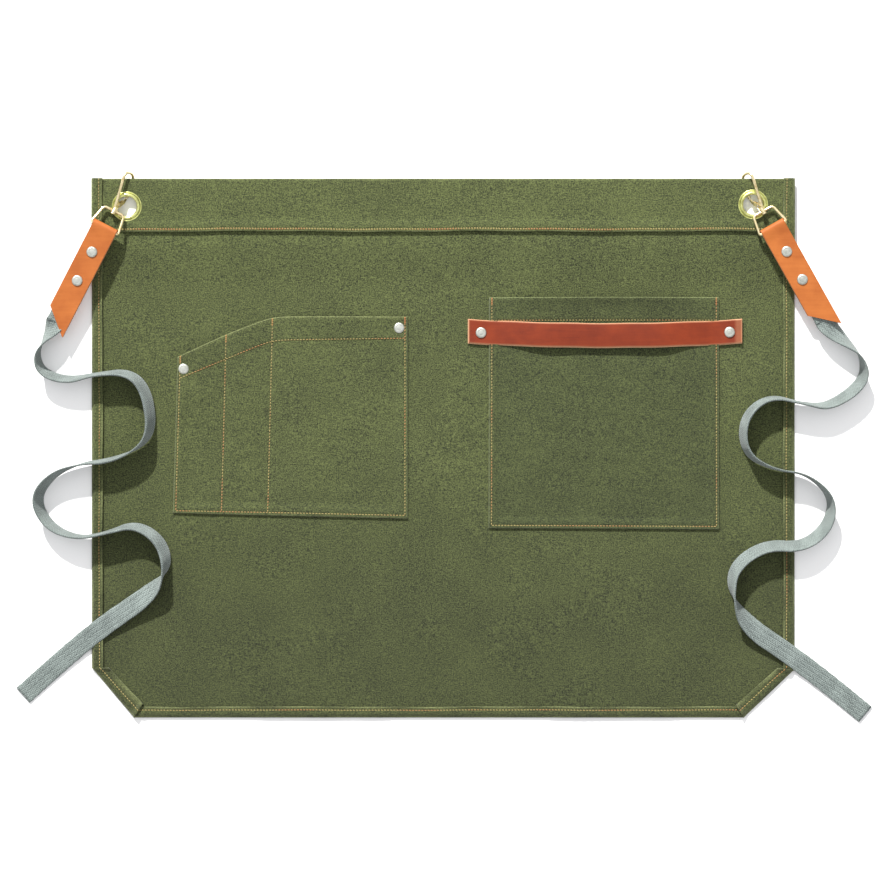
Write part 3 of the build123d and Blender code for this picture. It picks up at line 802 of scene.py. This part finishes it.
def sewn_pocket(name, seams, puffs, node, hems, profile, dye):
    """A pocket with its rows of stitches and the tacks at its corners."""
    piece, at, depth = pocket(name, seams, puffs, node, hems, profile, dye)
    hem_depth = float(np.mean(hems))
    last = len(puffs) - 1
    first_span = seams[1][1][0] - seams[0][1][0]
    last_span = seams[last + 1][1][0] - seams[last][1][0]
    steps = np.linspace(0.0, 1.0, 90)
    foot = edge_stitch / depth
    lines = [[at(0, edge_stitch / first_span, foot + (1 - foot) * v) for v in steps]]
    lines.append([at(last, 1 - edge_stitch / last_span, foot + (1 - foot) * v) for v in steps])
    foot_line, hem_line = [], []
    for k in range(last + 1):
        span = seams[k + 1][1][0] - seams[k][1][0]
        low = edge_stitch / span if k == 0 else 0.0
        high = 1 - edge_stitch / span if k == last else 1.0
        for u in np.linspace(low, high, 50):
            foot_line.append(at(k, u, foot))
            hem_line.append(at(k, u, 1 - hem_depth / depth))
    lines += [foot_line, hem_line]
    for k in range(1, last + 1):
        lines.append([at(k, 0.0, foot + (1 - foot) * v) for v in steps])
    rows = stitches(name + "_stitches", lines)
    tacks = []
    for k, u in [(0, edge_stitch / first_span), (last, 1 - edge_stitch / last_span)] + [
        (k, 0.0) for k in range(1, last + 1)
    ]:
        for shift in (-0.35, 0.35):
            start, end = np.array(at(k, u, 1 - 7.5 / depth)), np.array(at(k, u, 1 - 0.2 / depth))
            aside = np.array([shift, 0.0, 0.25])
            tacks.append([start + aside, end + aside])
    corner_tacks = stitches(name + "_tacks", tacks, pitch=1.9, radius=0.45, material=tack_thread)
    return [piece, rows, corner_tacks]


# ---- leather band ----
def raw_edge(piece, walls):
    """Give the side walls, which are the last faces, the second material."""
    for polygon in list(piece.data.polygons)[-walls:]:
        polygon.material_index = 1
        polygon.use_smooth = False


def band_line(x):
    """Height of the band's underside: flat at its rivets and bowed between."""
    start, end = band_ends
    rise = smooth((x - start - band_flat + 4) / (band_ramp + 8))
    fall = smooth((end - band_flat + 4 - x) / (band_ramp + 8))
    curl = 1.4 * max(0.0, (x - band_curl + 1.5) / 9.0) ** 2
    return band_seat + band_crest * float(rise * fall) + curl


def leather_band():
    """The strip of leather riveted over the large pocket."""
    start, end = band_ends
    fine = np.array([0.0, 0.12, 0.35, 0.8, 1.6])
    xs = np.concatenate([start + fine, np.arange(start + 4, end - 3, 3.0), end - fine[::-1]])
    half = band_depth / 2
    ts = np.concatenate([-half + fine, np.linspace(-half + 3.5, half - 3.5, 9), half - fine[::-1]])
    top, low = np.zeros((2, len(ts), len(xs), 3))
    wear = np.zeros((len(ts), len(xs)))
    middle = (start + end) / 2
    for r, t in enumerate(ts):
        for c, x in enumerate(xs):
            bow = 1 - ((x - middle) / (end - middle)) ** 2
            edge = min(half - abs(t), x - start, end - x)
            y = band_end_y + t - band_sag * bow + 0.18 * sin(x / 9.0) * (abs(t) / half)
            round_off = 0.45 * max(0.0, 1 - edge / 0.8) ** 2
            crown = 0.35 * bow * (1 - (t / half) ** 2)
            dimple = sum(0.35 * np.exp(-((x - px) ** 2 + (y - py) ** 2) / 60)
                         for px, py in band_rivets)
            top[r, c] = (x, y, band_line(x) + leather + crown - round_off - dimple * (edge > 0.5))
            low[r, c] = (x + 0.4 * (x == xs[-1]) - 0.8 * (x == xs[0]),
                         y + 0.35 * (t == ts[-1]) - 0.8 * (t == ts[0]), band_line(x))
            # Pale along the edges from scuffing; the curled end past band_curl gets a painted
            # highlight.
            wear[r, c] = 0.8 * np.exp(-((edge / 0.7) ** 2)) + (0.25 if x > band_curl else 0.0)
    points, faces, walls = closed_grid(top, low)
    piece = build("leather_band_strip", points, faces, "apron", [red_leather, band_edge],
                  np.concatenate([wear.ravel(), wear.ravel() * 0]))
    raw_edge(piece, walls)
    outward(piece)
    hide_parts("leather_band")


# ---- turned metal pieces ----
def lathe(name, profile, body, material, place, segments=48):
    """A turned piece from (radius, height) points, set at place."""
    points, faces = [], []
    count = len(profile)
    for i in range(segments):
        angle = 2 * pi * i / segments
        for radius, height in profile:
            points.append(place @ Vector((radius * cos(angle), radius * sin(angle), height)))
    for i in range(segments):
        j = (i + 1) % segments
        for k in range(count - 1):
            ring = (i * count + k, j * count + k, j * count + k + 1, i * count + k + 1)
            faces.append(ring)
    piece = build(name, points, faces, body, material)
    outward(piece, weld=1e-7)
    return piece


def cap_profile():
    """A pressed cap: a rolled rim, a shallow ring and a low dome."""
    points = [(0.001, 0.0), (5.1, 0.0)]
    points += [(5.1 + 0.32 * cos(a), 0.36 + 0.32 * sin(a)) for a in np.radians([-60, -20, 20, 60])]
    points += [(5.05, 0.95), (4.75, 1.22), (4.3, 1.42), (3.7, 1.52), (2.9, 1.58), (2.7, 1.52),
               (2.4, 1.60), (1.7, 1.66), (0.9, 1.70), (0.001, 1.72)]
    return points


def tab_frame(side):
    """Where a leather tab starts and which way it runs."""
    joint = next(j for j in frame["joints"] if j["name"] == f"{side}_strap_hinge")
    bar = Vector(joint["pos_m"]) / MM
    level = Vector((0, 0, 1)).cross(Vector(joint["axis"])).normalized()
    drop = (bar.z - exit_height) / sewn_end
    strap = level * (1 - drop**2) ** 0.5 - Vector((0, 0, 1)) * drop
    y_axis = Vector((0, 0, 1)).cross(strap).normalized()
    z_axis = strap.cross(y_axis)
    place = Matrix((strap, y_axis, z_axis)).transposed().to_4x4()
    place.translation = bar
    return place


def rivets():
    """The caps of all rivets, in place of the plain ones."""
    groups = [
        ("tool_pocket", "apron",
         [Matrix.Translation((x, y, cloth + tool_cap_seat)) for x, y in tool_rivets]),
        ("band", "apron",
         [Matrix.Translation((x, y, band_seat + leather)) for x, y in band_rivets]),
    ]
    for side in ("left", "right"):
        spots = [tab_frame(side) @ Matrix.Translation((along, 0, leaf_in + leather))
                 for along in tab_rivets]
        groups.append((f"{side}_tab", f"{side}_strap", spots))
    for name, body, spots in groups:
        for number, spot in enumerate(spots, 1):
            cap = lathe(f"{name}_cap_{number}", cap_profile(), body, nickel, spot)
            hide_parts(f"{name}_rivet_caps")


def eyelet_profile():
    """A rolled eyelet: barrel, round crown and thin outer flange."""
    low, face = 3.8, 7.0
    points = [(10.0, low + 0.3), (10.0, face + 0.4)]
    for a in np.radians([180, 155, 130, 110, 90, 70, 45, 20, 0, -20]):
        points.append((11.6 + 1.6 * cos(a), face + 0.35 + 1.4 * sin(a)))
    points += [(13.5, face + 0.10), (13.8, face + 0.42), (14.3, face + 0.58), (14.75, face + 0.42),
               (15.0, face + 0.1), (14.9, face - 0.05),
               (10.55, face - 0.02), (10.5, low + 0.1), (12.0, low), (12.0, low - 0.25),
               (10.4, low - 0.3), (10.05, low - 0.05), (10.0, low + 0.3)]
    return points


def eyelet_rings():
    """Both eyelets, in place of the plain ones."""
    for side, (x, y) in eyelets.items():
        ring = lathe(f"{side}_eyelet_ring", eyelet_profile(), "apron", eyelet_brass,
                        Matrix.Translation((x, y, 0)), 96)
        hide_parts(f"{side}_eyelet")


# ---- leather tabs ----
def leather_tab(side):
    """A strip of leather folded round the loop's bar, slanted at its end."""
    place = tab_frame(side)
    half, mid = leather / 2, leaf_in + leather / 2
    wrap = tab_wrap + half
    spine = [(tab_long - d, mid) for d in (0.0, 0.15, 0.5, 1.2)]
    spine += [(x, mid) for x in np.arange(tab_long - 4, tab_settle + 1, -3.5)]
    for share in np.linspace(1, 0, 8):
        spine.append((tab_settle * share, mid + (wrap - mid) * (1 - smooth(share))))
    turn = [(wrap * cos(a), wrap * sin(a)) for a in np.radians(np.linspace(105, 255, 11))]
    spine += turn + [(x, -z) for x, z in reversed(spine)]
    spine = np.array(spine)
    tangent = np.gradient(spine, axis=0)
    tangent /= np.linalg.norm(tangent, axis=1)[:, None]
    normal = np.stack([tangent[:, 1], -tangent[:, 0]], axis=1) * -1
    halfw = tab_width / 2
    fine = np.array([0.0, 0.15, 0.45, 1.0, 1.8])
    ts = np.concatenate([-halfw + fine, np.linspace(-halfw + 4, halfw - 4, 7), halfw - fine[::-1]])
    count = len(spine)
    outer = np.zeros((len(ts), count, 3))
    inner = np.zeros((len(ts), count, 3))
    wear = np.zeros((len(ts), count))
    for r, t in enumerate(ts):
        end = tab_short + (tab_long - tab_short) * (t / tab_width + 0.5)
        for c in range(count):
            x, z = spine[c]
            edge = min(halfw - abs(t), min(c, count - 1 - c) * 0.6)
            round_off = 0.4 * max(0.0, 1 - edge / 0.9) ** 2
            sides = []
            for way in (1, -1):
                px = x + normal[c, 0] * half * way
                pz = z + normal[c, 1] * half * way
                pz -= normal[c, 1] * round_off * (way > 0)
                if px > tab_settle:
                    stretch = (end - tab_settle) / (tab_long - tab_settle)
                    px = tab_settle + (px - tab_settle) * stretch
                sides.append((px, t, pz))
            outer[r, c], inner[r, c] = sides
            wear[r, c] = 0.8 * np.exp(-((halfw - abs(t)) / 0.8) ** 2)
            wear[r, c] += 0.6 * np.exp(-((x + wrap) / 2.0) ** 2)
    points, faces, walls = closed_grid(outer, inner)
    points = [place @ Vector(p) for p in points]
    piece = build(f"{side}_leather_tab", points, faces, f"{side}_strap", [tan_leather, tan_edge],
                  np.concatenate([wear.ravel(), wear.ravel() * 0]))
    raw_edge(piece, walls)
    outward(piece)
    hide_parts(f"{side}_strap_tab")


# ---- webbing ties ----
def along_spline(points):
    """Points of the smooth curve that has these control points."""
    curve = bpy.data.curves.new("route", "CURVE")
    curve.dimensions = "3D"
    curve.resolution_u = 24
    spline = curve.splines.new("NURBS")
    spline.points.add(len(points) - 1)
    for point, (x, y, z) in zip(spline.points, points):
        point.co = (x, y, z, 1)
    spline.order_u = 3
    spline.use_endpoint_u = True
    holder = in_scene("route", curve)
    bpy.context.view_layer.update()
    mesh = bpy.data.meshes.new_from_object(holder)
    found = np.array([v.co for v in mesh.vertices], float)
    bpy.data.objects.remove(holder)
    return found


def tie_base(x, y):
    """What the tie's lower edge rests on: the cloth or the table."""
    return over_cloth if abs(x) < cloth_reach and y > cloth_foot else over_floor


def webbing(name, path, leans, body, replaced):
    """A tape with rounded selvedges that twists by leans along a path, in mm."""
    half_w, half_t = tie_width / 2, tie_cloth / 2
    tangent = np.gradient(path, axis=0)
    tangent /= np.linalg.norm(tangent, axis=1)[:, None]
    far = np.concatenate([[0], np.cumsum(np.linalg.norm(np.diff(path, axis=0), axis=1))])
    across = [-1.0, -0.985, -0.93, -0.7, -0.4, -0.1, 0.1, 0.4, 0.7, 0.93, 0.985, 1.0]
    rings, lay = [], []
    for k, (centre, along, lean) in enumerate(zip(path, tangent, np.radians(leans))):
        left = np.cross((0, 0, 1.0), along)
        left /= np.linalg.norm(left)
        upright = np.cross(along, left)
        wide = upright * cos(lean) - left * sin(lean)
        face = left * cos(lean) + upright * sin(lean)
        pick = 0.16 * sin(2 * pi * far[k] / 2.1)
        ring = []
        for way in (1, -1):
            for a in across if way > 0 else reversed(across):
                thick = half_t * (1 - max(0.0, (abs(a) - 0.93) / 0.07) ** 2 * 0.75)
                cup = 0.12 * (1 - a * a)
                reach = a * (half_w + pick * (abs(a) > 0.9))
                ring.append(centre + wide * reach + face * (way * thick + cup))
                lay.append((far[k] * MM, (reach + way * 40) * MM, 0))
        rings.append(ring)
    piece = build(name, [p for ring in rings for p in ring], ring_tube(rings), body,
                  grey_webbing, None, lay)
    outward(piece)
    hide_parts(replaced)
    return piece


def webbing_tie(side):
    """One tie: its sewn end between the tab's leaves and its free length."""
    route = tie_routes[side]
    controls = []
    for number, (x, y, lean) in enumerate(route):
        a = radians(lean)
        z = tie_base(x, y) + tie_width / 2 * abs(cos(a)) + tie_cloth / 2 * abs(sin(a))
        z = max(z, tie_start_heights[min(number, 3)])
        controls.append((x * MM, y * MM, z * MM))
    path = along_spline(controls)
    leans = along_spline([(lean, 0, 0) for _, _, lean in route])[:, 0]
    tie = webbing(f"{side}_tie", path / MM, leans, None, f"{side}_webbing_tie")
    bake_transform(tie)
    place = tab_frame(side)
    sewn = [place @ Vector((x, 0, 0)) for x in np.linspace(sewn_start, sewn_end + 1.5, 40)]
    flat = -90 if side == "left" else 90
    webbing(f"{side}_tie_sewn_end", np.array(sewn), [flat] * len(sewn), f"{side}_strap",
            f"{side}_webbing_tie")


# ---- the camera, the light and the surface ----
def stage():
    """A pale surface, a soft key from the top left and a camera straight above."""
    span, lens, sensor = 888.0 * MM, 135.0, 36.0
    camera = bpy.data.cameras.new("camera")
    camera.lens, camera.sensor_width = lens, sensor
    holder = in_scene("camera", camera)
    holder.location = (0.8 * MM, 4.2 * MM, span * lens / sensor)
    bpy.context.scene.camera = holder

    floor = bpy.data.meshes.new("floor")
    reach = 4.0
    floor.from_pydata([(-reach, -reach, 0), (reach, -reach, 0), (reach, reach, 0),
                       (-reach, reach, 0)], [], [(0, 1, 2, 3)])
    paper = Nodes("paper")
    paper.set(Base_Color=(0.9, 0.9, 0.9, 1), Roughness=0.9, Specular_IOR_Level=0.1)
    floor.materials.append(paper.material)
    ground = in_scene("floor", floor)
    ground.location.z = -0.1 * MM

    key = bpy.data.lights.new("key", "SUN")
    key.energy, key.angle, key.color = 7.5, radians(2.5), (1.0, 0.985, 0.96)
    lamp = in_scene("key", key)
    shine = Vector((0.46, -1.44, -1.0))
    lamp.rotation_euler = shine.to_track_quat("-Z", "Y").to_euler()

    world = bpy.data.worlds.new("studio")
    bpy.context.scene.world = world
    world.use_nodes = True
    tree = world.node_tree
    back = tree.nodes["Background"]
    place = tree.nodes.new("ShaderNodeTexCoord")
    ramp = tree.nodes.new("ShaderNodeValToRGB")
    split = tree.nodes.new("ShaderNodeSeparateXYZ")
    tree.links.new(place.outputs["Generated"], split.inputs[0])
    tree.links.new(split.outputs["Z"], ramp.inputs[0])
    tree.links.new(ramp.outputs[0], back.inputs["Color"])
    low, high = ramp.color_ramp.elements
    low.position, low.color = 0.0, (1, 1, 1, 1)
    high.position, high.color = 1.0, (0.9, 0.91, 0.95, 1)
    for position, value in ((0.24, 1.0), (0.30, 0.45), (0.36, 0.45), (0.44, 0.92), (0.9, 0.88)):
        element = ramp.color_ramp.elements.new(position)
        element.color = (value, value, value * 1.01, 1)
    back.inputs["Strength"].default_value = 1.1
    bpy.context.scene.view_settings.view_transform = "Standard"


def cad_finishes():
    """Give the CAD nodes that stay in view their finish."""
    finish = {"hook_body": pale_gold, "hook_gate": pale_gold, "hook_gate_pin": spring_steel,
              "hook_gate_spring": spring_steel, "swivel_loop": pale_gold,
              "rivet_studs": nickel, "eyelet_washer": eyelet_brass}
    for node, piece in frame["nodes"].items():
        for ending, material in finish.items():
            if node.endswith("_" + ending):
                piece.data.materials.clear()
                piece.data.materials.append(material)


stage()
panel = canvas_panel()
edges = hems_and_waistband()
tool = sewn_pocket("tool_pocket_cloth", tool_seams, tool_puffs, "tool_pocket",
                   tool_hems, tool_profile, olive)
large = sewn_pocket("large_pocket_cloth", large_seams, large_puffs, "large_pocket",
                    large_hems, large_profile, shaded_olive)
leather_band()
rivets()
eyelet_rings()
for side in ("left", "right"):
    leather_tab(side)
    webbing_tie(side)
cad_finishes()
